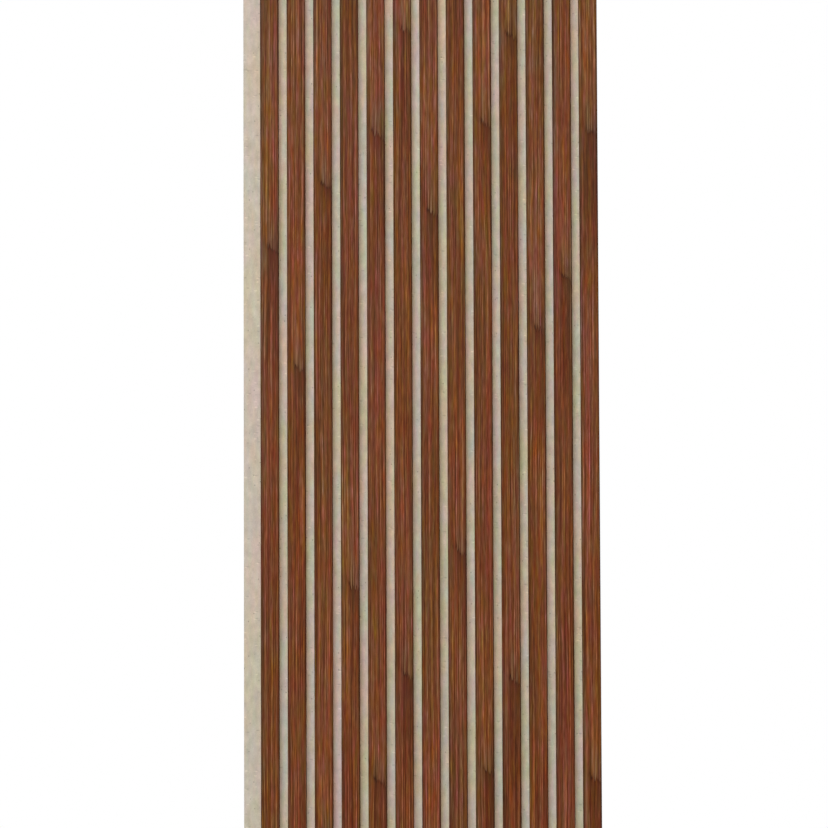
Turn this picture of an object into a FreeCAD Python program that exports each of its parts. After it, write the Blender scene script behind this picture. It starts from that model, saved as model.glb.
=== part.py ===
import FreeCAD, Part
import math
import os

import Sketcher

# Acoustic slat wall panel: a felt board that lies against the wall, with
# thirteen upright wooden slats on its front and staples driven from behind.
# Millimetres. +Z is up, the slats face -Y, and the wall face is at Y = 0.
# The origin is the middle of the wall face.

os.makedirs("parts", exist_ok=True)

# Driving dimensions: name, value, what it sets
SIZES = [
    ("panel_length", 2400, "height of the felt board and of every slat"),
    ("slat_count", 13, "slats side by side"),
    ("slat_width", 27, "width of one slat"),
    ("slat_depth", 12, "how far a slat stands out from the felt"),
    ("slat_gap", 12, "bare felt between two slats"),
    ("arris_radius", 1.2, "rounding of a slat's two front edges"),
    ("felt_depth", 9, "thickness of the felt board"),
    ("tongue_width", 25, "bare felt to the left of the first slat"),
    ("lap_clearance", 0.5, "play between a tongue and the neighbour's felt edge"),
    ("staple_rows", 8, "staples along one slat"),
    ("staple_end_margin", 60, "panel end to the middle of the nearest staple"),
    ("staple_crown", 12.8, "length of a staple's crown, outside"),
    ("staple_bite", 7, "how deep the legs go into the slat"),
    ("staple_sink", 0.4, "crown below the felt's wall face"),
    ("staple_tip", 1.1, "length of the slant at a leg's tip"),
    ("wire_width", 0.95, "staple wire across the slat"),
    ("wire_depth", 0.65, "staple wire in the plane of the staple"),
]

# Places and sizes worked out from the driving dimensions
PITCH = "(sizes.slat_width + sizes.slat_gap)"
SLAT_SPAN = f"(sizes.slat_count * {PITCH} - sizes.slat_gap)"
PANEL_WIDTH = f"(sizes.tongue_width + {SLAT_SPAN})"
# The felt stops short under the last slat, so that the next panel's tongue
# slips in behind that slat and leaves one even gap showing.
REBATE_WIDTH = "(sizes.tongue_width - sizes.slat_gap + sizes.lap_clearance)"
FELT_WIDTH = f"({PANEL_WIDTH} - {REBATE_WIDTH})"
LAST_SEAT_WIDTH = f"(sizes.slat_width - {REBATE_WIDTH})"
SLAT_MIDDLE = "(sizes.slat_width / 2)"
LAST_SEAT_MIDDLE = f"({LAST_SEAT_WIDTH} / 2)"
LEFT_EDGE = f"(-{PANEL_WIDTH} / 2)"
BOTTOM_EDGE = "(-sizes.panel_length / 2)"
STAPLE_REACH = "(sizes.felt_depth + sizes.staple_bite)"
STAPLE_SPAN = "(sizes.panel_length - 2 * sizes.staple_end_margin)"
FIRST_LINE = f"(sizes.tongue_width + {SLAT_MIDDLE})"
LAST_LINE = f"({PANEL_WIDTH} - sizes.slat_width + {LAST_SEAT_MIDDLE})"

# The two ends of a line, as a constraint picks them
START, END = range(1, 3)
ORIGIN_POINT = (-1, START)


def write_sizes(doc):
    sheet = doc.addObject("Spreadsheet::Sheet", "sizes")
    for row, (name, value, meaning) in enumerate(SIZES, start=1):
        sheet.set(f"A{row}", name)
        sheet.set(f"B{row}", str(value))
        sheet.set(f"C{row}", meaning)
        sheet.setAlias(f"B{row}", name)
    doc.recompute()
    return sheet


def origin_feature(body, role):
    return next(item for item in body.Origin.OriginFeatures if item.Role == role)


def new_sketch(body, name, plane):
    sketch = body.newObject("Sketcher::SketchObject", name)
    sketch.AttachmentSupport = [(origin_feature(body, plane), "")]
    sketch.MapMode = "FlatFace"
    return sketch


def new_body(doc, name, left, back):
    """A body whose own corner lies at the panel's foot, left and back as told."""
    body = doc.addObject("PartDesign::Body", name)
    body.Label = name
    body.AllowCompound = True
    body.setExpression("Placement.Base.x", left)
    body.setExpression("Placement.Base.y", back)
    body.setExpression("Placement.Base.z", BOTTOM_EDGE)
    return body


def bound(sketch, kind, *picks, name, size):
    """Add a dimension with a name, bound to an expression of the sheet."""
    now = float(sketch.evalExpression(size))
    index = sketch.addConstraint(Sketcher.Constraint(kind, *picks, now))
    sketch.renameConstraint(index, name)
    sketch.setExpression(f"Constraints.{name}", size)


def closed_outline(sketch, points):
    """Straight lines from each point to the next and back to the first."""
    corners = [FreeCAD.Vector(across, up, 0) for across, up in points]
    count = len(corners)
    for index, corner in enumerate(corners):
        line = Part.LineSegment(corner, corners[(index + 1) % count])
        sketch.addGeometry(line, False)
    for index in range(count):
        join = Sketcher.Constraint("Coincident", index, END, (index + 1) % count, START)
        sketch.addConstraint(join)


def extrude(body, sketch, name, length):
    pad = body.newObject("PartDesign::Pad", name)
    pad.Profile = sketch
    pad.setExpression("Length", length)
    sketch.Visibility = False
    return pad


def repeat_up(body, feature, name):
    """Copies of a staple feature up the body, between the two end margins."""
    pattern = body.newObject("PartDesign::LinearPattern", name)
    pattern.Originals = [feature]
    pattern.Direction = (origin_feature(body, "Z_Axis"), [""])
    pattern.Mode = "Extent"
    pattern.setExpression("Length", STAPLE_SPAN)
    pattern.setExpression("Occurrences", "sizes.staple_rows")
    return pattern


def repeat_across(body, pattern):
    """The same rows again at every slat but the last."""
    pattern.Direction2 = (origin_feature(body, "X_Axis"), [""])
    pattern.Mode2 = "Extent"
    pattern.setExpression("Length2", f"(sizes.slat_count - 2) * {PITCH}")
    pattern.setExpression("Occurrences2", "sizes.slat_count - 1")


def felt_outline(body, value):
    sketch = new_sketch(body, "felt_outline", "XY_Plane")
    width = float(sketch.evalExpression(FELT_WIDTH))
    depth = value("felt_depth")
    closed_outline(sketch, [(0, -depth), (width, -depth), (width, 0), (0, 0)])
    for line in (0, 2):
        sketch.addConstraint(Sketcher.Constraint("Horizontal", line))
    for line in (1, 3):
        sketch.addConstraint(Sketcher.Constraint("Vertical", line))
    sketch.addConstraint(Sketcher.Constraint("Coincident", 2, END, *ORIGIN_POINT))
    bound(sketch, "DistanceX", 0, START, 0, END, name="width", size=FELT_WIDTH)
    bound(sketch, "DistanceY", 1, START, 1, END, name="depth", size="sizes.felt_depth")
    return sketch


def slat_outline(body, value):
    """Rectangle with sharp back corners and rounded front ones."""
    sketch = new_sketch(body, "slat_outline", "XY_Plane")
    width = value("slat_width")
    depth = value("slat_depth")
    radius = value("arris_radius")
    spring = radius - depth
    point = FreeCAD.Vector
    normal = point(0, 0, 1)
    toward_left, toward_front, toward_right = (math.pi * turn for turn in (1, 1.5, 2))
    right_circle = Part.Circle(point(width - radius, spring, 0), normal, radius)
    left_circle = Part.Circle(point(radius, spring, 0), normal, radius)
    back, right, right_arris, front, left_arris, left = range(6)
    outline = [
        Part.LineSegment(point(0, 0, 0), point(width, 0, 0)),
        Part.LineSegment(point(width, 0, 0), point(width, spring, 0)),
        Part.ArcOfCircle(right_circle, toward_front, toward_right),
        Part.LineSegment(point(width - radius, -depth, 0), point(radius, -depth, 0)),
        Part.ArcOfCircle(left_circle, toward_left, toward_front),
        Part.LineSegment(point(0, spring, 0), point(0, 0, 0)),
    ]
    sketch.addGeometry(outline, False)
    for constraint in (
        ("Coincident", back, START, *ORIGIN_POINT),
        ("Coincident", back, END, right, START),
        ("Tangent", right, END, right_arris, END),
        ("Tangent", right_arris, START, front, START),
        ("Tangent", front, END, left_arris, END),
        ("Tangent", left_arris, START, left, START),
        ("Coincident", left, END, back, START),
        ("Horizontal", back),
        ("Horizontal", front),
        ("Vertical", right),
        ("Vertical", left),
        ("Equal", right_arris, left_arris),
    ):
        sketch.addConstraint(Sketcher.Constraint(*constraint))
    bound(sketch, "DistanceX", back, START, back, END, name="width", size="sizes.slat_width")
    bound(sketch, "DistanceY", front, START, *ORIGIN_POINT, name="depth", size="sizes.slat_depth")
    bound(sketch, "Radius", right_arris, name="arris", size="sizes.arris_radius")
    return sketch


def staple_outline(body, name, value, line, wall):
    """A staple seen from its side, crown at the wall, legs toward the front.

    line is the staple's place across the body, and wall is where the panel's
    wall face lies on the body's own Y axis.
    """
    sketch = new_sketch(body, name, "YZ_Plane")
    sketch.setExpression("AttachmentOffset.Base.x", wall)
    sketch.setExpression("AttachmentOffset.Base.y", "sizes.staple_end_margin")
    sketch.setExpression("AttachmentOffset.Base.z", line)
    half = value("staple_crown") / 2
    inner = half - value("wire_depth")
    sink = -value("staple_sink")
    under = sink - value("wire_depth")
    tip = -value("felt_depth") - value("staple_bite")
    shoulder = tip + value("staple_tip")
    closed_outline(sketch, [
        (sink, -half), (sink, half), (shoulder, half), (tip, inner),
        (under, inner), (under, -inner), (tip, -inner), (shoulder, -half),
    ])
    crown, upper_back, upper_tip, upper_leg, hollow, lower_leg, lower_tip, lower_back = range(8)
    for line_index in (upper_back, upper_leg, lower_leg, lower_back):
        sketch.addConstraint(Sketcher.Constraint("Horizontal", line_index))
    for constraint in (
        ("Symmetric", crown, START, crown, END, -1),
        ("Symmetric", hollow, START, hollow, END, -1),
        ("Vertical", upper_back, END, lower_back, START),
        ("Vertical", upper_tip, END, lower_tip, START),
    ):
        sketch.addConstraint(Sketcher.Constraint(*constraint))
    bound(sketch, "DistanceX", crown, START, *ORIGIN_POINT, name="sink", size="sizes.staple_sink")
    bound(sketch, "DistanceY", crown, START, crown, END, name="crown", size="sizes.staple_crown")
    bound(sketch, "DistanceX", hollow, END, crown, START, name="wire", size="sizes.wire_depth")
    bound(sketch, "DistanceY", hollow, START, crown, END, name="leg", size="sizes.wire_depth")
    bound(sketch, "DistanceX", upper_leg, START, *ORIGIN_POINT, name="reach", size=STAPLE_REACH)
    bound(sketch, "DistanceX", upper_tip, END, upper_tip, START, name="tip", size="sizes.staple_tip")
    return sketch


def staple_column(body, kind, name, value, line, wall):
    """A column of staples, or of the holes they leave, up the body."""
    sketch = staple_outline(body, f"{name}_outline", value, line, wall)
    first = body.newObject(kind, name)
    first.Profile = sketch
    first.SideType = "Symmetric"
    first.setExpression("Length", "sizes.wire_width")
    sketch.Visibility = False
    rows = repeat_up(body, first, f"{name}_rows")
    body.Tip = rows
    return rows


def staples_over_panel(body, kind, name, value):
    """Columns at the middle of each slat, and of the last slat's seat."""
    rows = staple_column(body, kind, name, value, FIRST_LINE, "0")
    repeat_across(body, rows)
    staple_column(body, kind, f"last_{name}", value, LAST_LINE, "0")


def make_felt_backing(doc, value):
    body = new_body(doc, "felt_backing", LEFT_EDGE, "0")
    extrude(body, felt_outline(body, value), "felt_board", "sizes.panel_length")
    staples_over_panel(body, "PartDesign::Pocket", "staple_slots", value)
    return body


def make_slat(doc, value, number):
    place = f"{LEFT_EDGE} + sizes.tongue_width + {number - 1} * {PITCH}"
    body = new_body(doc, f"slat_{number:02d}", place, "-sizes.felt_depth")
    extrude(body, slat_outline(body, value), "slat_bar", "sizes.panel_length")
    is_last = number == int(value("slat_count"))
    line = LAST_SEAT_MIDDLE if is_last else SLAT_MIDDLE
    staple_column(body, "PartDesign::Pocket", "leg_holes", value, line, "sizes.felt_depth")
    return body


def make_staples(doc, value):
    body = new_body(doc, "staples", LEFT_EDGE, "0")
    staples_over_panel(body, "PartDesign::Pad", "staple", value)
    return body


def check_document(doc):
    for item in doc.Objects:
        if "Invalid" in item.State or "Error" in item.State:
            raise RuntimeError(f"{item.Label} did not recompute: {item.State}")


def check_piece(body, solids):
    shape = body.Shape
    if shape.isNull() or not shape.isValid():
        raise RuntimeError(f"{body.Label} has no valid shape")
    if len(shape.Solids) != solids:
        raise RuntimeError(f"{body.Label} has {len(shape.Solids)} solids, not {solids}")


def check_holes(body, blank):
    """The pockets of a piece must have taken material away."""
    if not body.Shape.Volume < blank.Shape.Volume:
        raise RuntimeError(f"{body.Label} was not cut by its staples")


def main():
    doc = FreeCAD.newDocument("slat_panel")
    sheet = write_sizes(doc)

    def value(name):
        return float(sheet.get(name))

    felt = make_felt_backing(doc, value)
    slats = [make_slat(doc, value, number + 1) for number in range(int(value("slat_count")))]
    staples = make_staples(doc, value)
    doc.recompute()
    check_document(doc)
    for piece in [felt] + slats:
        check_piece(piece, 1)
        check_holes(piece, piece.Group[1])
    check_piece(staples, int(value("slat_count") * value("staple_rows")))
    for piece in [felt] + slats + [staples]:
        piece.Shape.exportStep(os.path.join("parts", f"{piece.Label}.step"))


main()
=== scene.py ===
import math

import bpy
import numpy as np
from mathutils import Matrix, Vector


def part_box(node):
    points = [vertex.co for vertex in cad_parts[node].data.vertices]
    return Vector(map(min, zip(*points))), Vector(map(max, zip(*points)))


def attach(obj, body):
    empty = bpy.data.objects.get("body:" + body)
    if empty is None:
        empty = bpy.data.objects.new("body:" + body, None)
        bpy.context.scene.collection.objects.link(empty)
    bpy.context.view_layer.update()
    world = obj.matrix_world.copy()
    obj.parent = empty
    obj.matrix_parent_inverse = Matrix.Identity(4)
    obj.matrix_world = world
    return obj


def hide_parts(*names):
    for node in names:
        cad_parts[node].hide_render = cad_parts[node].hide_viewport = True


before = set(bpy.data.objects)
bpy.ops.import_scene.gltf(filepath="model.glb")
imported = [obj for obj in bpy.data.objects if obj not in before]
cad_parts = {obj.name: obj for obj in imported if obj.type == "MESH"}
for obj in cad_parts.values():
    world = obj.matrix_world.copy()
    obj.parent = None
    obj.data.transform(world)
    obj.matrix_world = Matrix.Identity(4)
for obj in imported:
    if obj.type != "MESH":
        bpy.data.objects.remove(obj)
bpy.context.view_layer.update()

# Sizes of the panel, in metres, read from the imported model
FELT_LOW, FELT_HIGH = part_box("felt_backing")
STAPLES_LOW, STAPLES_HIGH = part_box("staples")
SLATS = {name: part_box(name) for name in sorted(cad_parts) if name.startswith("slat_")}
FIRST_LOW, FIRST_HIGH = SLATS["slat_01"]
SLAT_WIDTH = FIRST_HIGH.x - FIRST_LOW.x
SLAT_DEPTH = FIRST_HIGH.y - FIRST_LOW.y
SLAT_PITCH = SLATS["slat_02"][0].x - FIRST_LOW.x
PANEL_LENGTH = FIRST_HIGH.z - FIRST_LOW.z
PANEL_BOTTOM = FIRST_LOW.z

# Slats: their two front edges are rounded, and rings divide them along their length
ARRIS_RADIUS = 0.0012
ARRIS_STEPS = 6
SLAT_RINGS = 61

# Staples: flat wire bent to a U, eight to a slat, with tips cut on a slant
STAPLE_ROWS = 8
STAPLE_CROWN = 0.0128
STAPLE_SLANT = 0.0011
WIRE_WIDTH = 0.00095
WIRE_DEPTH = 0.00065
WIRE_BEND = 0.0006
WIRE_BEND_STEPS = 5
WIRE_EDGE = 0.00012
WIRE_EDGE_STEPS = 2

# Felt: a soft rim, a swell between the slats, and a dimple around each staple
FELT_RIM = 0.0007
FELT_RIM_RIPPLE = 0.00015
RIM_RIPPLE_FINENESS = 3
FELT_SWELL = 0.00025
FELT_SWELL_RIPPLE = 0.0001
RIPPLE_LENGTHS = (0.03, 0.05, 0.09, 0.16, 0.4)
DIMPLE_DEPTH = 0.0005
DIMPLE_REACH = 0.0022

# The felt's grid: its widest columns and rows, the narrowest, and how far from the
# middle of a staple it has lines of its own
FELT_COLUMN = 0.005
FELT_ROW = 0.025
FELT_NARROWEST = 0.0003
RIM_TURNS = (30, 60, 90)
DIMPLE_COLUMNS = (0.0006, 0.002, 0.005)
DIMPLE_ROWS = (0.0, 0.005, 0.0066, 0.0075, 0.009, 0.012)

# Where the felt is marked for its colour: how far the painted warm shade reaches right of each
# slat, and the margins of the marks
WARM_SHADE_WIDTH = 0.006
SIDE_MARGIN = 0.001
FRONT_MARGIN = 0.002

# Bamboo: the height of one node on each slat, from the middle of the panel, and how
# far its knot is from the slat's left side, both from the first slat to the last
NODE_HEIGHTS = (0.245, 0.071, 0.339, -0.250, 0.414, 0.566, 0.298,
                -0.200, 0.428, 0.559, 0.126, 0.201, 0.417)
KNOT_SIDES = (0.0119, 0.0119, 0.0119, 0.0132, 0.0092, 0.0135, 0.0119,
              0.0135, 0.0130, 0.0119, 0.0121, 0.0130, 0.0116)
NODE_SPACING = 0.945

# A node's scar, its knot, and the core of the wood beside the knot
SCAR_SLOPE = 0.7
SCAR_RAGGED = 0.026
SCAR_HALF = 0.0016
KNOT_HALF_WIDTH = 0.0020
KNOT_HALF_HEIGHT = 0.0028
CORE_SIDE = 0.0013
CORE_HALF = 0.0028

# The wood's fibres and its bundles of dense ones
FIBRE_WANDER = 0.008
BUNDLE_WIDTH = 0.0073
BUNDLE_TONE = 0.155

# Stretches of wood around a node, by their heights over it: where each begins, is
# full, begins to fade and ends
NODE_STRETCHES = {
    "below": (-0.22, -0.09, -0.003, 0.001),
    "close_below": (-0.045, -0.008, -0.003, 0.001),
    "cooler": (-0.09, -0.02, -0.004, 0.010),
    "close_above": (-0.002, 0.001, 0.012, 0.065),
    "core_above": (0.003, 0.025, 0.06, 0.11),
    "above": (0.003, 0.040, 0.14, 0.27),
}

# Sides of a node, by how far to the right of its knot they are: where each begins,
# and where it is full
NODE_SIDES = {
    "right": (-0.004, 0.003),
    "shaded": (-0.0045, 0.0010),
    "greyer": (-0.006, 0.006),
    "near": (0.013, 0.004),
}

# How much each zone around a node darkens the wood, or lightens it below zero
NODE_TONES = {
    "scar": 0.70,
    "knot": 0.90,
    "under_scar": 0.18,
    "below_right": 0.27,
    "below_left": -0.14,
    "core_below": 0.12,
    "above": -0.18,
    "core_above": -0.12,
    "over_scar": 0.12,
}

# Where the wood's tone changes over the panel from the left, where its painted sheen
# changes from below, and how much darker the last slats are
LAST_SLATS = (0.12, 0.25)
LAST_SLATS_TONE = 0.035
SHEEN_HEIGHTS = (-0.1, 0.6)

# Single fibres of the felt: how many to the metre each way, and the noise's shift
FELT_FIBRES = (((700, 700, 150), 0.0), ((160, 700, 650), 9.0), ((420, 700, 400), 17.0))
FELT_FIBRE_HALF = 0.02
FELT_FIBRE_TONE = -0.10

# Flecks of the felt, which are dark specks, the shadows of tufts, and pale tufts: how
# many to the metre, the pattern's shift, their size, and how much they darken
FELT_FLECKS = (
    ((130, 130, 105), 0.0, 0.16, 0.40),
    ((66, 100, 150), 2.0, 0.22, 0.20),
    ((66, 100, 150), 2.16, 0.22, -0.20),
)
FLECK_SHARE = 0.4

# The relief of each surface that light brings out
BAMBOO_RELIEF = 0.00012
FELT_RELIEF = 0.0003
WIRE_RELIEF = 0.00002

# The photograph's camera, fitted to the slat edges
CAMERA_DISTANCE = 6.0
CAMERA_SIDE = -0.01077
CAMERA_PITCH = math.radians(3.7444)
CAMERA_ROLL = math.radians(-0.2149)
CAMERA_FOCAL_PIXELS = 4102.4
PHOTO_PIXELS = 828
SENSOR_WIDTH = 36.0

# Lamps: place, width and power. Most light comes from straight ahead, so that it
# reaches the felt between the slats, and a wide softbox on the left shades the left
# of each gap.
LAMPS = {
    "front_lamp": ((-0.25, -6.2, 1.3), 0.7, 200.0),
    "left_softbox": ((-2.0, -4.58, 0.8), 3.0, 102.0),
    "back_softbox": ((1.8, 4.4, 3.4), 3.0, 290.0),
}
AMBIENT = 0.06

# The floor ends before it would come into the photograph's view
FLOOR_HALF = 14.0
FLOOR_DROP = 0.0005
FLOOR_NEAR = 2.5
FLOOR_FAR = 6.0
FLOOR_GREY = (0.45, 0.45, 0.45)
FLOOR_GLOW = 0.75


def linear(red, green, blue):
    """A colour given in 0 to 255 display levels, as linear light."""
    return tuple(
        level / 255 / 12.92 if level <= 10 else ((level / 255 + 0.055) / 1.055) ** 2.4
        for level in (red, green, blue)
    ) + (1.0,)


WHITE = (1.0, 1.0, 1.0, 1.0)
BAMBOO_RED = linear(116, 52, 27)
BAMBOO_OLIVE = linear(101, 66, 27)
BAMBOO_PALE = linear(152, 114, 82)
SAWN_DARK = linear(52, 28, 18)
SAWN_PALE = linear(122, 76, 48)
FELT_BEIGE = linear(196, 184, 166)
WIRE_DULL = linear(150, 150, 148)
WIRE_BRIGHT = linear(205, 205, 202)

# Tints, which multiply a colour in linear light
PLAIN = (1.0, 1.0, 1.0)
WOOD_YELLOWER = (1.04, 1.0, 0.42)
WOOD_GREYER = (0.96, 1.0, 1.84)
ABOVE_NODE = (0.82, 1.0, 1.16)
BELOW_NODE = (1.0, 1.09, 1.30)
# Painted sheen on the wood: warmer at the foot, paler and bluer at the top
SHEEN_AT_FOOT = (0.985, 0.94, 0.86)
SHEEN_AT_TOP = (1.0, 1.08, 1.18)
# Painted warm shade on the felt right of each slat
WARM_SHADE_TINT = (1.01, 0.86, 0.74)

# Painted shade: how far the front is darker beside its left and its right arris, and the tint there
LEFT_SHADE = (0.0056, (0.52, 0.68, 0.88))
RIGHT_SHADE = (0.0032, (0.43, 0.44, 0.38))

# The felt's green, pink, yellow and blue tints, which are stronger between the slats, where they
# also hold a painted shade about three percent darker
STRIP_TINTS = ((0.95, 1.035, 1.0), (1.05, 0.965, 1.0), (1.0, 1.0, 0.91), (1.0, 1.0, 1.09))
SHADED_GAP_TINTS = ((0.87, 1.025, 0.97), (1.07, 0.925, 0.97), (1.02, 1.02, 0.85), (0.98, 0.98, 1.13))


class Tree:
    """A node tree that is written from top to bottom."""

    def __init__(self, tree):
        self.tree = tree

    def node(self, kind, sockets=None, **settings):
        made = self.tree.nodes.new(kind)
        for name, value in settings.items():
            setattr(made, name, value)
        for key, value in (sockets or {}).items():
            self.feed(made.inputs[key], value)
        return made

    def feed(self, socket, value):
        if isinstance(value, bpy.types.NodeSocket):
            self.tree.links.new(value, socket)
        else:
            socket.default_value = value

    def math(self, operation, first, second=0.0, third=0.0):
        sockets = {0: first, 1: second, 2: third}
        return self.node("ShaderNodeMath", sockets, operation=operation).outputs[0]

    def add(self, first, second):
        return self.math("ADD", first, second)

    def take(self, first, second):
        return self.math("SUBTRACT", first, second)

    def times(self, first, second):
        return self.math("MULTIPLY", first, second)

    def over(self, first, second):
        return self.math("DIVIDE", first, second)

    def vector(self, across, depth, along):
        sockets = {"X": across, "Y": depth, "Z": along}
        return self.node("ShaderNodeCombineXYZ", sockets).outputs[0]

    def remap(self, value, low, high, smooth=True):
        """0 at low and 1 at high, and level beyond them."""
        sockets = {"Value": value, "From Min": low, "From Max": high}
        kind = "SMOOTHSTEP" if smooth else "LINEAR"
        return self.node("ShaderNodeMapRange", sockets, interpolation_type=kind).outputs[0]


class Finish(Tree):
    """The nodes of one material, with the coordinates of the object itself."""

    def __init__(self, name):
        self.material = bpy.data.materials.new(name)
        self.material.use_nodes = True
        super().__init__(self.material.node_tree)
        self.tree.nodes.clear()
        self.place = self.node("ShaderNodeTexCoord").outputs
        axes = self.node("ShaderNodeSeparateXYZ", {0: self.place["Object"]}).outputs
        self.across, self.depth, self.along = axes

    def attribute(self, name):
        return self.node("ShaderNodeAttribute", attribute_name=name).outputs["Fac"]

    def stretched(self, per_metre, shift=0.0, place=None):
        """Object coordinates with as many features to the metre as told on each axis."""
        sockets = {0: place or self.place["Object"], 1: per_metre, 2: (shift,) * 3}
        return self.node("ShaderNodeVectorMath", sockets, operation="MULTIPLY_ADD").outputs[0]

    def noise(self, per_metre, detail=2.0, roughness=0.5, shift=0.0, place=None):
        """Noise about one half. Detail adds finer layers, and roughness is their share."""
        sockets = {"Vector": self.stretched(per_metre, shift, place), "Scale": 1.0,
                   "Detail": detail, "Roughness": roughness}
        return self.node("ShaderNodeTexNoise", sockets).outputs[0]

    def patches(self, first, second, spread, place=None):
        """Patches from zero to one: two noises added up, with all beyond the spread level."""
        both = self.add(self.noise(*first, place=place), self.noise(*second, place=place))
        return self.remap(both, 1.0 - spread, 1.0 + spread, smooth=False)

    def cells(self, per_metre, shift=0.0):
        """A pattern of cells: how far it is to the middle of each, and a colour of its own."""
        sockets = {"Vector": self.stretched(per_metre, shift), "Scale": 1.0}
        return self.node("ShaderNodeTexVoronoi", sockets).outputs

    def swing(self, value, span):
        """A noise about one half made a factor from 1/span to span, about one."""
        return self.math("POWER", span * span, self.take(value, 0.5))

    def dim(self, tone, share, depth):
        """The tone less a part of it, where share is one."""
        return self.times(tone, self.math("MULTIPLY_ADD", share, -depth, 1.0))

    def bell(self, value, half_width):
        """One at zero, and falling away on both sides."""
        square = self.math("POWER", self.over(value, half_width), 2.0)
        return self.over(1.0, self.add(square, 1.0))

    def stretch(self, value, start, full, fade, end):
        """One from full to fade, and zero before start and after end."""
        return self.times(self.remap(value, start, full), self.remap(value, end, fade))

    def blend(self, share, first, second):
        """The first colour where share is zero, and the second where it is one."""
        made = self.node("ShaderNodeMix", data_type="RGBA")
        for socket, value in ((0, share), (6, first), (7, second)):
            self.feed(made.inputs[socket], value)
        return made.outputs[2]

    def scaled(self, colour, factor):
        """The colour times one factor."""
        made = self.node("ShaderNodeVectorMath", {"Scale": factor}, operation="SCALE")
        self.feed(made.inputs[0], colour)
        return made.outputs[0]

    def product(self, first, second):
        """Two colours multiplied, channel by channel."""
        sockets = {0: first, 1: second}
        return self.node("ShaderNodeVectorMath", sockets, operation="MULTIPLY").outputs[0]

    def tint(self, colour, share, first, second):
        """The colour times a tint that goes from the first to the second with share."""
        return self.product(colour, self.blend(share, (*first, 1.0), (*second, 1.0)))

    def surface(self, colour, roughness, height, relief, **uniform):
        """The finished surface, with the relief in metres under its colour."""
        bump = self.node("ShaderNodeBump", {"Height": height, "Distance": relief})
        shader = self.node("ShaderNodeBsdfPrincipled")
        self.feed(shader.inputs["Base Color"], colour)
        self.feed(shader.inputs["Roughness"], roughness)
        self.feed(shader.inputs["Normal"], bump.outputs[0])
        for name, value in uniform.items():
            shader.inputs[name.replace("_", " ")].default_value = value
        self.node("ShaderNodeOutputMaterial", {"Surface": shader.outputs[0]})
        return self.material


def bamboo_finish():
    """Dark red-brown bamboo: long fibres, pore dashes, and a node now and then."""
    wood = Finish("bamboo_dark_oil")
    from_left = wood.take(wood.across, wood.attribute("slat_left"))
    facing = wood.node("ShaderNodeSeparateXYZ", {0: wood.place["Normal"]}).outputs

    # Fibres wander a little from side to side on their way up
    wander = wood.take(wood.noise((9, 9, 3), shift=3.1), 0.5)
    sideways = wood.add(wood.across, wood.times(wander, FIBRE_WANDER))
    flow = wood.vector(sideways, wood.depth, wood.along)

    tone, fibres, relief = bamboo_grain(wood, sideways, flow)
    zones = node_zones(wood, from_left)
    tone = node_tone(wood, tone, zones)

    # The last slats on the right are a little darker
    tone = wood.dim(tone, wood.remap(wood.across, *LAST_SLATS), LAST_SLATS_TONE)
    colour = bamboo_colour(wood, tone, zones, flow)
    colour = painted_arris_shade(wood, colour, from_left, facing["Y"])
    colour = sawn_ends(wood, colour, facing["Z"])
    roughness = wood.math("MULTIPLY_ADD", fibres, 0.2, 0.45)
    return wood.surface(colour, roughness, relief, BAMBOO_RELIEF, Specular_IOR_Level=0.06)


def bamboo_grain(wood, sideways, flow):
    """The grain's tone, which is about one, its fibres, and the relief that it makes."""
    fibres = wood.noise((1150, 1150, 4.5), 0.0, 0.5, 11.0, flow)
    strands = wood.noise((760, 760, 38), 1.0, 0.6, 15.0, flow)
    hairs = wood.noise((1500, 1500, 60), 2.0, 0.6, 5.0, flow)
    bands = wood.noise((80, 80, 3), 2.0, 0.6, 19.0, flow)
    clouds = wood.noise((28, 28, 3), 2.0, 0.5, 7.0)
    board = wood.noise((26, 26, 0.8), 1.0, 0.5, 17.0)

    # Bundles of dense fibres make slow stripes, unevenly wide
    shift = wood.times(wood.noise((30, 30, 2.5), 1.0, 0.5, 25.0), 14.0)
    bundles = wood.math("MULTIPLY_ADD", sideways, math.tau / BUNDLE_WIDTH, shift)
    tone = wood.math("MULTIPLY_ADD", wood.math("SINE", bundles), BUNDLE_TONE, 1.0)
    for layer, span in ((fibres, 5.4), (strands, 2.5), (hairs, 2.0), (clouds, 1.25),
                        (bands, 1.1), (board, 1.15)):
        tone = wood.times(tone, wood.swing(layer, span))

    # Pores: short dark dashes along the fibres
    pores = wood.remap(wood.noise((900, 900, 60), 1.0, 0.5, 41.0, flow), 0.36, 0.26)
    tone = wood.dim(tone, pores, 0.3)
    sunk = wood.take(wood.times(hairs, 0.4), wood.times(pores, 0.5))
    return tone, fibres, wood.add(wood.times(fibres, 0.7), sunk)


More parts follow.
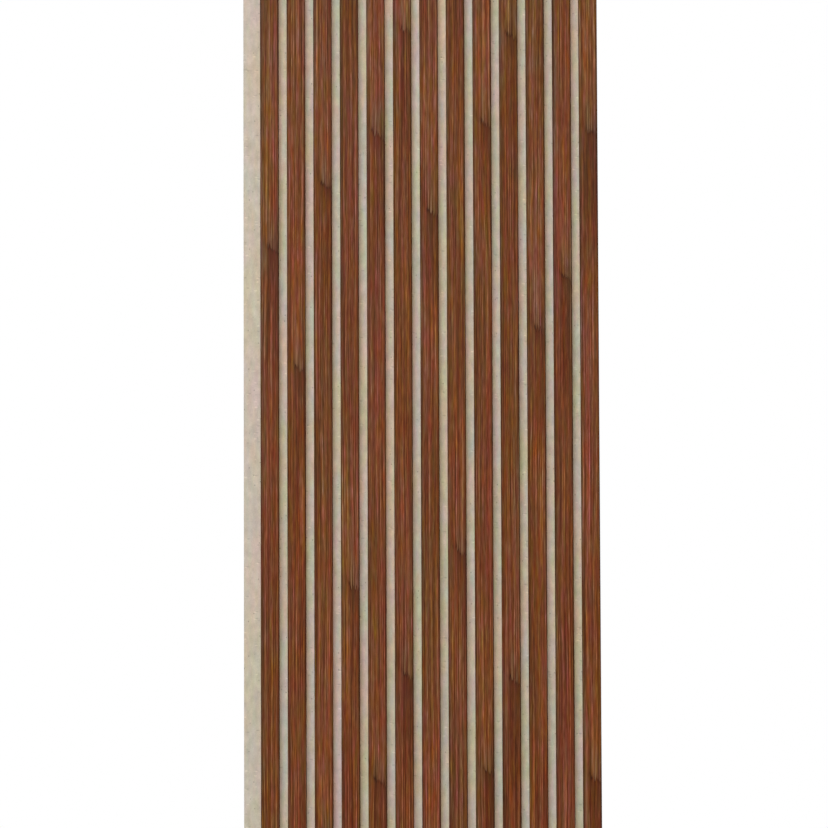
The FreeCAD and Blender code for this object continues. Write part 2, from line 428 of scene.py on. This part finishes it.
def node_zones(wood, from_left):
    """The zones around a bamboo node, whose ragged scar falls away to the right."""
    height = wood.math("WRAP", wood.take(wood.along, wood.attribute("node_height")),
                       NODE_SPACING / 2, -NODE_SPACING / 2)
    aside = wood.take(from_left, wood.attribute("knot_side"))
    ragged = wood.take(wood.noise((900, 900, 3), 1.0, 0.5, 51.0), 0.5)
    fall = wood.add(wood.times(aside, SCAR_SLOPE), wood.times(ragged, SCAR_RAGGED))
    height = wood.add(height, fall)
    zones = {name: wood.stretch(height, *ends) for name, ends in NODE_STRETCHES.items()}
    sides = {name: wood.remap(aside, *ends) for name, ends in NODE_SIDES.items()}

    knot = wood.bell(aside, KNOT_HALF_WIDTH)
    core = wood.bell(wood.take(aside, CORE_SIDE), CORE_HALF)
    zones["knot"] = wood.times(knot, wood.bell(height, KNOT_HALF_HEIGHT))
    zones["scar"] = wood.times(wood.bell(height, SCAR_HALF), sides["right"])
    zones["under_scar"] = wood.times(zones["close_below"], sides["right"])
    pale = wood.times(zones["close_above"], sides["right"])
    zones["pale"] = wood.times(pale, sides["near"])
    zones["over_scar"] = wood.times(zones["pale"], wood.remap(height, 0.030, 0.010))
    zones["below_right"] = wood.times(zones["below"], sides["shaded"])
    zones["below_left"] = wood.take(zones["below"], zones["below_right"])
    zones["core_below"] = wood.times(core, zones["below"])
    zones["core_above"] = wood.times(core, zones["core_above"])
    zones["greyer"] = wood.times(zones["close_above"], sides["greyer"])
    return zones


def node_tone(wood, tone, zones):
    """The tone with the nodes in it. Right below one the fibres show less."""
    calm = wood.times(wood.take(0.94, tone), wood.times(zones["close_below"], 0.4))
    tone = wood.add(tone, calm)
    for name, depth in NODE_TONES.items():
        tone = wood.dim(tone, zones[name], depth)
    return tone


def bamboo_colour(wood, tone, zones, flow):
    """Red-brown and olive in long patches, which lose more blue than red in the dark."""
    olive = wood.patches(((55, 55, 2.5), 2.0, 0.6, 21.0),
                         ((190, 190, 24), 1.0, 0.5, 23.0), 0.33, flow)
    greyer = wood.patches(((60, 60, 3), 2.0, 0.6, 31.0),
                          ((180, 180, 28), 1.0, 0.5, 33.0), 0.30, flow)
    colour = wood.blend(olive, BAMBOO_RED, BAMBOO_OLIVE)
    colour = wood.tint(colour, greyer, WOOD_YELLOWER, WOOD_GREYER)
    colour = wood.tint(colour, zones["greyer"], PLAIN, ABOVE_NODE)
    colour = wood.tint(colour, zones["cooler"], PLAIN, BELOW_NODE)
    red_tone = wood.math("POWER", tone, 0.72)
    blue_tone = wood.math("POWER", tone, 1.45)
    colour = wood.product(colour, wood.vector(red_tone, tone, blue_tone))

    # Pale streaks stand right above the scar
    streaks = wood.remap(wood.noise((900, 900, 9), 1.0, 0.5, 61.0, flow), 0.52, 0.62)
    streaks = wood.times(wood.times(zones["pale"], streaks), 0.7)
    colour = wood.blend(streaks, colour, BAMBOO_PALE)

    # Painted sheen: toward the top the wood is a little paler and bluer, and at the foot warmer
    upper = wood.remap(wood.along, *SHEEN_HEIGHTS)
    return wood.tint(colour, upper, SHEEN_AT_FOOT, SHEEN_AT_TOP)


def painted_arris_shade(wood, colour, from_left, turned):
    """Painted shade: the front darkens a little toward its arrises, and the sides stay as they are.
    """
    beside = wood.remap(turned, -0.5, -0.1)
    from_right = wood.take(SLAT_WIDTH, from_left)
    for inward, (width, tint) in ((from_left, LEFT_SHADE), (from_right, RIGHT_SHADE)):
        clear = wood.remap(inward, 0.0002, width, smooth=False)
        colour = wood.tint(colour, wood.math("MAXIMUM", clear, beside), tint, PLAIN)
    return colour


def sawn_ends(wood, colour, turned):
    """At the sawn ends the fibre bundles show as dark dots."""
    sawn = wood.math("GREATER_THAN", wood.math("ABSOLUTE", turned), 0.6)
    between = wood.remap(wood.cells((1100, 1100, 60))["Distance"], 0.16, 0.34)
    end = wood.blend(between, SAWN_DARK, SAWN_PALE)
    end = wood.scaled(end, wood.swing(wood.noise((300, 300, 300)), 1.5))
    return wood.blend(sawn, colour, end)


def felt_finish():
    """Needled felt: mottled beige, with fine fibres, dark specks and pale tufts."""
    felt = Finish("felt_beige_board")
    clouds = felt.noise((30, 30, 10), 2.0, 0.5, 2.0)
    mottle = felt.noise((105, 105, 62), 3.0, 0.56, 4.0)
    fluff = felt.noise((900, 900, 700), 3.0, 0.65, 6.0)
    tone = felt.times(felt.swing(clouds, 1.04), felt.swing(mottle, 1.35))
    tone = felt.times(tone, felt.swing(fluff, 1.15))

    # Single fibres, lying every way
    for per_metre, shift in FELT_FIBRES:
        lines = felt.math("ABSOLUTE", felt.take(felt.noise(per_metre, 1.0, 0.5, shift), 0.5))
        tone = felt.dim(tone, felt.remap(lines, FELT_FIBRE_HALF, 0.0), FELT_FIBRE_TONE)

    # Flecks, in some of the cells
    for per_metre, shift, size, depth in FELT_FLECKS:
        cells = felt.cells(per_metre, shift)
        pick = felt.node("ShaderNodeSeparateColor", {0: cells["Color"]}).outputs[0]
        fleck = felt.remap(cells["Distance"], size, size * 0.4)
        fleck = felt.times(fleck, felt.math("LESS_THAN", pick, FLECK_SHARE))
        tone = felt.dim(tone, fleck, depth)

    colour = felt.scaled(felt_colour(felt), tone)
    height = felt.add(fluff, mottle)
    return felt.surface(colour, 0.95, height, FELT_RELIEF, Sheen_Weight=0.1,
                        Sheen_Roughness=0.6, Specular_IOR_Level=0.1)


def felt_colour(felt):
    """Beige in faint patches, with painted shade: a little darker between the slats, and darker and
    warmer right of each slat.
    """
    pink = felt.patches(((150, 150, 34), 2.0, 0.5, 8.0), ((40, 40, 8), 1.0, 0.5, 10.0), 0.30)
    blue = felt.patches(((140, 140, 36), 2.0, 0.5, 12.0), ((40, 40, 8), 1.0, 0.5, 14.0), 0.30)
    shades = []
    for greenish, pinkish, yellowish, bluish in (STRIP_TINTS, SHADED_GAP_TINTS):
        shade = felt.tint(FELT_BEIGE[:3], pink, greenish, pinkish)
        shades.append(felt.tint(shade, blue, yellowish, bluish))
    # Between the slats the felt is a little darker, as painted shade
    colour = felt.blend(felt.attribute("between_slats"), *shades)
    # Painted warm shade: the felt right of each slat is darker and warmer
    return felt.tint(colour, felt.attribute("painted_warm_shade"), PLAIN, WARM_SHADE_TINT)


def wire_finish():
    """Galvanised flat wire, a little dull, with drawn lines along it."""
    wire = Finish("galvanised_wire")
    lines = wire.noise((9000, 9000, 300), 2.0, 0.6, 1.0)
    bloom = wire.noise((500, 500, 500), 2.0, 0.5, 3.0)
    colour = wire.blend(bloom, WIRE_DULL, WIRE_BRIGHT)
    roughness = wire.math("MULTIPLY_ADD", lines, 0.25, 0.28)
    return wire.surface(colour, roughness, lines, WIRE_RELIEF, Metallic=1.0)


def floor_finish():
    """A pale floor that looks white where no shadow falls on it, and white far away."""
    floor = Finish("pale_floor")
    shade = floor.swing(floor.noise((3, 3, 3), 3.0), 1.02)
    away = floor.node("ShaderNodeVectorMath", {0: floor.place["Object"]}, operation="LENGTH")
    near = floor.remap(away.outputs["Value"], FLOOR_FAR, FLOOR_NEAR)
    grey = floor.scaled(FLOOR_GREY, floor.times(shade, near))
    matte = floor.node("ShaderNodeBsdfDiffuse", {"Color": grey})
    strength = floor.math("MULTIPLY_ADD", near, FLOOR_GLOW - 1.0, 1.0)
    strength = floor.times(seen_directly(floor), strength)
    glow = floor.node("ShaderNodeEmission", {"Strength": strength})
    both = floor.node("ShaderNodeAddShader", {0: matte.outputs[0], 1: glow.outputs[0]})
    floor.node("ShaderNodeOutputMaterial", {"Surface": both.outputs[0]})
    return floor.material


def seen_directly(tree):
    """One where the camera sees it, straight on or in metal or glass."""
    path = tree.node("ShaderNodeLightPath").outputs
    seen = tree.math("MAXIMUM", path["Is Camera Ray"], path["Is Glossy Ray"])
    return tree.math("MAXIMUM", seen, path["Is Transmission Ray"])


class Growth(Tree):
    """A geometry tree with named inputs."""

    KINDS = {"length": "NodeSocketFloat", "count": "NodeSocketInt", "finish": "NodeSocketMaterial"}

    def __init__(self, name):
        super().__init__(bpy.data.node_groups.new(name, "GeometryNodeTree"))
        self.sockets = {}

    def inputs(self, kind, *names):
        sockets = self.tree.interface
        for name in names:
            made = sockets.new_socket(name, in_out="INPUT", socket_type=self.KINDS[kind])
            self.sockets[name] = made.identifier

    def entry(self):
        """The tree's inputs, in the order in which they were named."""
        self.tree.interface.new_socket("mesh", in_out="OUTPUT", socket_type="NodeSocketGeometry")
        return self.node("NodeGroupInput").outputs

    def index(self):
        return self.node("GeometryNodeInputIndex").outputs[0]

    def position(self):
        """The three coordinates of a point."""
        place = self.node("GeometryNodeInputPosition").outputs[0]
        return self.node("ShaderNodeSeparateXYZ", {0: place}).outputs

    def set_points(self, geometry, **told):
        """The same points, each at the Position or moved by the Offset that is told."""
        sockets = {"Geometry": geometry, **told}
        return self.node("GeometryNodeSetPosition", sockets).outputs[0]

    def straight(self, length, count):
        """A line straight up, with as many points as told."""
        line = self.node("GeometryNodeCurvePrimitiveLine", {"End": self.vector(0.0, 0.0, length)})
        sockets = {"Curve": line.outputs[0], "Count": count}
        return self.node("GeometryNodeResampleCurve", sockets).outputs[0]

    def rectangle(self, width, height):
        sockets = {"Width": width, "Height": height}
        return self.node("GeometryNodeCurvePrimitiveQuadrilateral", sockets).outputs[0]

    def rounded(self, curve, radius, count):
        made = self.node("GeometryNodeFilletCurve", mode="POLY")
        for key, value in (("Curve", curve), ("Count", count), ("Radius", radius)):
            self.feed(made.inputs[key], value)
        return made.outputs[0]

    def swept(self, path, outline):
        sockets = {"Curve": path, "Profile Curve": outline, "Fill Caps": True}
        return self.node("GeometryNodeCurveToMesh", sockets).outputs[0]

    def moved(self, geometry, across, depth, along):
        sockets = {"Geometry": geometry, "Translation": self.vector(across, depth, along)}
        return self.node("GeometryNodeTransform", sockets).outputs[0]

    def row(self, count, step):
        """Points in a straight row, one step apart."""
        return self.node("GeometryNodeMeshLine", {"Count": count, "Offset": step}).outputs[0]

    def copied(self, points, piece):
        """The piece at each of the points."""
        sockets = {"Points": points, "Instance": piece}
        return self.node("GeometryNodeInstanceOnPoints", sockets).outputs[0]

    def marked(self, geometry, name, value):
        """The geometry with a value at each point, which a material can read by name."""
        store = self.node("GeometryNodeStoreNamedAttribute", data_type="FLOAT", domain="POINT")
        for key, fed in (("Geometry", geometry), ("Name", name), ("Value", value)):
            self.feed(store.inputs[key], fed)
        return store.outputs[0]

    def finish(self, geometry, material):
        """The tree's last nodes: copies made real, and their material."""
        solid = self.node("GeometryNodeRealizeInstances", {0: geometry}).outputs[0]
        painted = self.node("GeometryNodeSetMaterial", {"Geometry": solid, "Material": material})
        self.node("NodeGroupOutput", {0: painted.outputs[0]})

    def grow(self, name, **values):
        """The tree's result with these inputs, as a plain mesh object."""
        seed = bpy.data.objects.new(name + "_seed", bpy.data.meshes.new(name + "_seed"))
        bpy.context.collection.objects.link(seed)
        modifier = seed.modifiers.new("growth", "NODES")
        modifier.node_group = self.tree
        for key, value in values.items():
            modifier[self.sockets[key]] = value
        evaluated = seed.evaluated_get(bpy.context.evaluated_depsgraph_get())
        mesh = bpy.data.meshes.new_from_object(evaluated)
        bpy.data.objects.remove(seed)
        return place_piece(name, mesh)


def place_piece(name, mesh):
    """The mesh as an object at the origin."""
    piece = bpy.data.objects.new(name, mesh)
    bpy.context.collection.objects.link(piece)
    return piece


def dress(piece, node):
    """Put a finished piece in the place of its solid."""
    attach(piece, "root")
    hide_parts(node)


def slat_tree():
    """One upright bar with rounded front arrises, closed at both ends."""
    tree = Growth("slat_bar")
    tree.inputs("length", "length", "width", "depth", "arris", "left", "back", "bottom",
                "node_height", "knot_side")
    tree.inputs("count", "rings", "arris_steps")
    tree.inputs("finish", "finish")
    size = tree.entry()
    front = tree.math("LESS_THAN", tree.position()["Y"], 0.0)
    outline = tree.rectangle(size["width"], size["depth"])
    outline = tree.rounded(outline, tree.times(front, size["arris"]), size["arris_steps"])
    bar = tree.swept(tree.straight(size["length"], size["rings"]), outline)
    middle = tree.add(size["left"], tree.times(size["width"], 0.5))
    centre = tree.take(size["back"], tree.times(size["depth"], 0.5))
    bar = tree.moved(bar, middle, centre, size["bottom"])
    bar = tree.marked(bar, "slat_left", size["left"])
    bar = tree.marked(bar, "node_height", size["node_height"])
    bar = tree.marked(bar, "knot_side", size["knot_side"])
    tree.finish(bar, size["finish"])
    return tree


def make_slats(finish):
    """A bar for each slat, with a node of the figure at a height of its own."""
    tree = slat_tree()
    for name, node_height, knot_side in zip(SLATS, NODE_HEIGHTS, KNOT_SIDES):
        low, high = SLATS[name]
        piece = tree.grow(
            f"bamboo_{name}", length=PANEL_LENGTH, width=SLAT_WIDTH, depth=SLAT_DEPTH,
            arris=ARRIS_RADIUS, left=low.x, back=high.y, bottom=low.z,
            node_height=node_height, knot_side=knot_side,
            rings=SLAT_RINGS, arris_steps=ARRIS_STEPS, finish=finish)
        piece.data.shade_flat()
        dress(piece, name)


def staple_tree():
    """Rows and columns of staples: crowns upright at the wall, legs to the front."""
    tree = Growth("staple_rows")
    tree.inputs("length", "crown", "reach", "sink", "slant", "wire_width", "wire_depth",
                "bend", "edge", "left", "bottom", "span", "pitch", "last_shift")
    tree.inputs("count", "bend_steps", "edge_steps", "rows", "columns")
    tree.inputs("finish", "finish")
    size = tree.entry()
    staple = slanted_tips(tree, size, bent_wire(tree, size))
    field = staple_field(tree, size, staple)
    tree.finish(tree.moved(field, size["left"], 0.0, size["bottom"]), size["finish"])
    return tree


def bent_wire(tree, size):
    """A U of flat wire. Four points make it: tip, corner, corner, tip."""
    index = tree.index()
    upper = tree.math("GREATER_THAN", index, 1.5)
    at_tip = tree.math("GREATER_THAN", tree.math("ABSOLUTE", tree.take(index, 1.5)), 1.0)
    half_wire = tree.times(size["wire_depth"], 0.5)
    half_crown = tree.take(tree.times(size["crown"], 0.5), half_wire)
    along = tree.times(half_crown, tree.math("MULTIPLY_ADD", upper, 2.0, -1.0))
    crown_depth = tree.add(size["sink"], half_wire)
    leg = tree.take(size["reach"], crown_depth)
    depth = tree.math("MULTIPLY_ADD", tree.times(at_tip, leg), -1.0, tree.times(crown_depth, -1.0))
    path = tree.straight(size["crown"], 4)
    path = tree.set_points(path, Position=tree.vector(0.0, depth, along))
    path = tree.rounded(path, size["bend"], size["bend_steps"])
    outline = tree.rectangle(size["wire_width"], size["wire_depth"])
    return tree.swept(path, tree.rounded(outline, size["edge"], size["edge_steps"]))


def slanted_tips(tree, size, staple):
    """The staple with its tips cut on a slant, longest on the inside.

    Only the points at the very end of a leg move.
    """
    place = tree.position()
    leg_end = tree.take(tree.times(size["wire_width"], 0.1), size["reach"])
    at_tip = tree.math("LESS_THAN", place["Y"], leg_end)
    inner = tree.take(tree.times(size["crown"], 0.5), size["wire_depth"])
    outward = tree.over(tree.take(tree.math("ABSOLUTE", place["Z"]), inner), size["wire_depth"])
    cut = tree.times(tree.times(outward, size["slant"]), at_tip)
    return tree.set_points(staple, Offset=tree.vector(0.0, cut, 0.0))


def staple_field(tree, size, staple):
    """A column of staples for each slat, the last one nearer to the one before it."""
    rise = tree.over(size["span"], tree.take(size["rows"], 1.0))
    column = tree.copied(tree.row(size["rows"], tree.vector(0.0, 0.0, rise)), staple)
    feet = tree.row(size["columns"], tree.vector(size["pitch"], 0.0, 0.0))
    is_last = tree.math("GREATER_THAN", tree.index(), tree.take(size["columns"], 1.5))
    shift = tree.times(is_last, size["last_shift"])
    feet = tree.set_points(feet, Offset=tree.vector(shift, 0.0, 0.0))
    return tree.copied(feet, column)


def make_staples(finish):
    """All staples as one mesh. Returns the lines and heights of their middles."""
    left = STAPLES_LOW.x + WIRE_WIDTH / 2
    right = STAPLES_HIGH.x - WIRE_WIDTH / 2
    bottom = STAPLES_LOW.z + STAPLE_CROWN / 2
    top = STAPLES_HIGH.z - STAPLE_CROWN / 2
    columns = len(SLATS)
    piece = staple_tree().grow(
        "wire_staples", crown=STAPLE_CROWN, reach=-STAPLES_LOW.y, sink=-STAPLES_HIGH.y,
        slant=STAPLE_SLANT, wire_width=WIRE_WIDTH, wire_depth=WIRE_DEPTH, bend=WIRE_BEND,
        bend_steps=WIRE_BEND_STEPS, edge=WIRE_EDGE, edge_steps=WIRE_EDGE_STEPS,
        left=left, bottom=bottom, span=top - bottom, pitch=SLAT_PITCH,
        last_shift=right - left - SLAT_PITCH * (columns - 1), rows=STAPLE_ROWS,
        columns=columns, finish=finish)
    dress(piece, "staples")
    lines = [left + SLAT_PITCH * number for number in range(columns - 1)] + [right]
    heights = [bottom + (top - bottom) * row / (STAPLE_ROWS - 1) for row in range(STAPLE_ROWS)]
    return lines, heights


def grid_lines(low, high, step, marks):
    """Lines from low to high, one at every mark and none further apart than step."""
    lines = [low]
    for mark in sorted(marks) + [high]:
        gap = mark - lines[-1]
        if gap < FELT_NARROWEST or mark > high:
            continue
        parts = math.ceil(gap / step)
        lines += [lines[-1] + gap * (part + 1) / parts for part in range(parts)]
    return np.array(lines)


def both_sides(middles, offsets):
    """Each middle less and plus each of the offsets."""
    return [middle + side * offset for middle in middles for offset in offsets for side in (-1, 1)]


def ripple(across, along, seed):
    """A slow unevenness from -1 to 1."""
    draw = np.random.default_rng(seed)
    total = np.zeros_like(across)
    for length in RIPPLE_LENGTHS:
        turn = draw.uniform(0, 2 * math.pi)
        phase = draw.uniform(0, 2 * math.pi)
        reach = (across * math.cos(turn) + along * math.sin(turn)) / length
        total += np.sin(2 * math.pi * reach + phase) / len(RIPPLE_LENGTHS)
    return total


def felt_front(across, along):
    """How far the felt's face stands forward, in the gaps and in the wide strip."""
    swell = np.zeros_like(across)
    left = FELT_LOW.x
    for low, high in SLATS.values():
        middle = (left + low.x) / 2
        half = (low.x - left) / 2
        inside = np.clip(1 - ((across - middle) / half) ** 2, 0, None)
        swell = np.maximum(swell, np.sqrt(inside))
        left = high.x
    return swell * (FELT_SWELL + FELT_SWELL_RIPPLE * ripple(across, along, seed=5))


def felt_back(across, along, lines, heights):
    """How deep the felt's wall face gives way around the staples."""
    beside = np.min(np.abs(across[..., None] - np.array(lines)), axis=-1)
    beside = np.clip(beside - WIRE_WIDTH / 2, 0, None)
    beyond = np.min(np.abs(along[..., None] - np.array(heights)), axis=-1)
    beyond = np.clip(beyond - STAPLE_CROWN / 2, 0, None)
    away = np.hypot(beside, beyond) / DIMPLE_REACH
    return DIMPLE_DEPTH / (1 + away ** 2) ** 2


def rim_loops(front, back, columns, rows):
    """Loops of points in a soft quarter round from the front's edge to the back's."""
    outward = np.zeros_like(front)
    for axis, lines in ((0, columns), (2, rows)):
        outward[:, axis] = np.where(front[:, axis] == lines[-1], 1, 0)
        outward[:, axis] -= np.where(front[:, axis] == lines[0], 1, 0)
    finer = front * RIM_RIPPLE_FINENESS
    uneven = 0.5 + 0.5 * ripple(finer[:, 0], finer[:, 2], seed=9)
    reach = outward * (FELT_RIM - FELT_RIM_RIPPLE * uneven[:, None])
    toward_back = np.array([0, FELT_RIM, 0])
    loops = []
    for degrees in RIM_TURNS:
        turn = math.radians(degrees)
        loops.append(front + reach * math.sin(turn) + toward_back * (1 - math.cos(turn)))
    for degrees in reversed(RIM_TURNS):
        turn = math.radians(degrees)
        loops.append(back + reach * math.sin(turn) - toward_back * (1 - math.cos(turn)))
    return loops


def mark_felt(mesh, points):
    """Marks for the colour: felt between the slats, and the painted warm shade on the felt right of
    each slat.
    """
    at_front = points[:, 1] < FELT_LOW.y + FRONT_MARGIN
    beyond = points[:, :1] - np.array([high.x for _, high in SLATS.values()])
    beyond = np.min(np.where(beyond < -SIDE_MARGIN, 1, np.abs(beyond)), axis=1)
    between = at_front & (points[:, 0] > FIRST_HIGH.x - SIDE_MARGIN)
    # Painted warm shade, fading over a few millimetres right of each slat
    warm_shade = np.clip(1 - beyond / WARM_SHADE_WIDTH, 0, 1) * at_front
    for name, values in (("painted_warm_shade", warm_shade), ("between_slats", between.astype(float))):
        mesh.attributes.new(name, "FLOAT", "POINT").data.foreach_set("value", values)


def make_felt(finish, lines, heights):
    """The felt board: swollen between the slats, soft at its cut edges."""
    edges = [corner.x for box in SLATS.values() for corner in box]
    beside = both_sides(lines, DIMPLE_COLUMNS)
    beyond = both_sides(heights, DIMPLE_ROWS)
    columns = grid_lines(FELT_LOW.x + FELT_RIM, FELT_HIGH.x - FELT_RIM, FELT_COLUMN, edges + beside)
    rows = grid_lines(FELT_LOW.z + FELT_RIM, FELT_HIGH.z - FELT_RIM, FELT_ROW, beyond)
    across, along = np.meshgrid(columns, rows)
    face = FELT_LOW.y - felt_front(across, along)
    wall = FELT_HIGH.y - felt_back(across, along, lines, heights)
    front, back = (np.stack([across, depth, along], axis=-1).reshape(-1, 3)
                   for depth in (face, wall))

    number = np.arange(across.size).reshape(across.shape)
    corners = [number[:-1, :-1], number[:-1, 1:], number[1:, 1:], number[1:, :-1]]
    quads = np.stack(corners, axis=-1).reshape(-1, 4)
    rim = np.concatenate([number[0, :-1], number[:-1, -1], number[-1, :0:-1], number[:0:-1, 0]])
    loops = rim_loops(front[rim], back[rim], columns, rows)
    points = np.concatenate([front, back] + loops)

    # Around the rim, walls of four-sided faces join each ring of points to the next
    later = 2 * across.size + np.arange(len(rim) * len(loops))
    rings = [rim, *later.reshape(len(loops), -1), rim + across.size]
    faces = [quads, quads[:, ::-1] + across.size]
    for ring, after in zip(rings, rings[1:]):
        faces.append(np.stack([ring, after, np.roll(after, -1), np.roll(ring, -1)], axis=-1))

    mesh = bpy.data.meshes.new("felt_board")
    mesh.from_pydata(points.tolist(), [], np.concatenate(faces).tolist())
    mark_felt(mesh, points)
    mesh.materials.append(finish)
    mesh.shade_smooth()
    dress(place_piece("felt_board", mesh), "felt_backing")


def make_camera():
    """A plain camera low in front of the panel, which looks up a little."""
    data = bpy.data.cameras.new("photo_camera")
    data.sensor_width = SENSOR_WIDTH
    data.lens = CAMERA_FOCAL_PIXELS * SENSOR_WIDTH / PHOTO_PIXELS
    camera = bpy.data.objects.new("photo_camera", data)
    bpy.context.collection.objects.link(camera)
    ahead = Vector((0.0, math.cos(CAMERA_PITCH), math.sin(CAMERA_PITCH)))
    side = Vector((1.0, 0.0, 0.0))
    overhead = side.cross(ahead)
    right = side * math.cos(CAMERA_ROLL) + overhead * math.sin(CAMERA_ROLL)
    up = overhead * math.cos(CAMERA_ROLL) - side * math.sin(CAMERA_ROLL)
    turn = Matrix((right, up, -ahead)).transposed()
    place = Vector((CAMERA_SIDE, -CAMERA_DISTANCE, -CAMERA_DISTANCE * math.tan(CAMERA_PITCH)))
    camera.matrix_world = Matrix.Translation(place) @ turn.to_4x4()
    bpy.context.scene.camera = camera


def make_lamp(name, place, size, power):
    """A round softbox that faces the middle of the panel."""
    data = bpy.data.lights.new(name, "AREA")
    data.shape = "DISK"
    data.size = size
    data.energy = power
    lamp = bpy.data.objects.new(name, data)
    bpy.context.collection.objects.link(lamp)
    lamp.location = place
    lamp.rotation_euler = (-Vector(place)).to_track_quat("-Z", "Y").to_euler()


def make_studio():
    """A white surround, the lamps, and a floor right below the panel."""
    world = bpy.data.worlds.new("white_studio")
    world.use_nodes = True
    bpy.context.scene.world = world
    tree = Tree(world.node_tree)
    tree.tree.nodes.clear()
    strength = tree.math("MULTIPLY_ADD", seen_directly(tree), 1.0 - AMBIENT, AMBIENT)
    sky = tree.node("ShaderNodeBackground", {"Color": WHITE, "Strength": strength})
    tree.node("ShaderNodeOutputWorld", {"Surface": sky.outputs[0]})
    for name, (place, size, power) in LAMPS.items():
        make_lamp(name, place, size, power)

    mesh = bpy.data.meshes.new("floor")
    level = PANEL_BOTTOM - FLOOR_DROP
    corners = [(across * FLOOR_HALF, depth * FLOOR_HALF, level)
               for across, depth in ((-1, -1), (1, -1), (1, 1), (-1, 1))]
    mesh.from_pydata(corners, [], [(0, 1, 2, 3)])
    mesh.materials.append(floor_finish())
    place_piece("floor", mesh)


def main():
    bpy.context.scene.view_settings.view_transform = "Standard"
    make_camera()
    make_studio()
    make_slats(bamboo_finish())
    lines, heights = make_staples(wire_finish())
    make_felt(felt_finish(), lines, heights)


main()
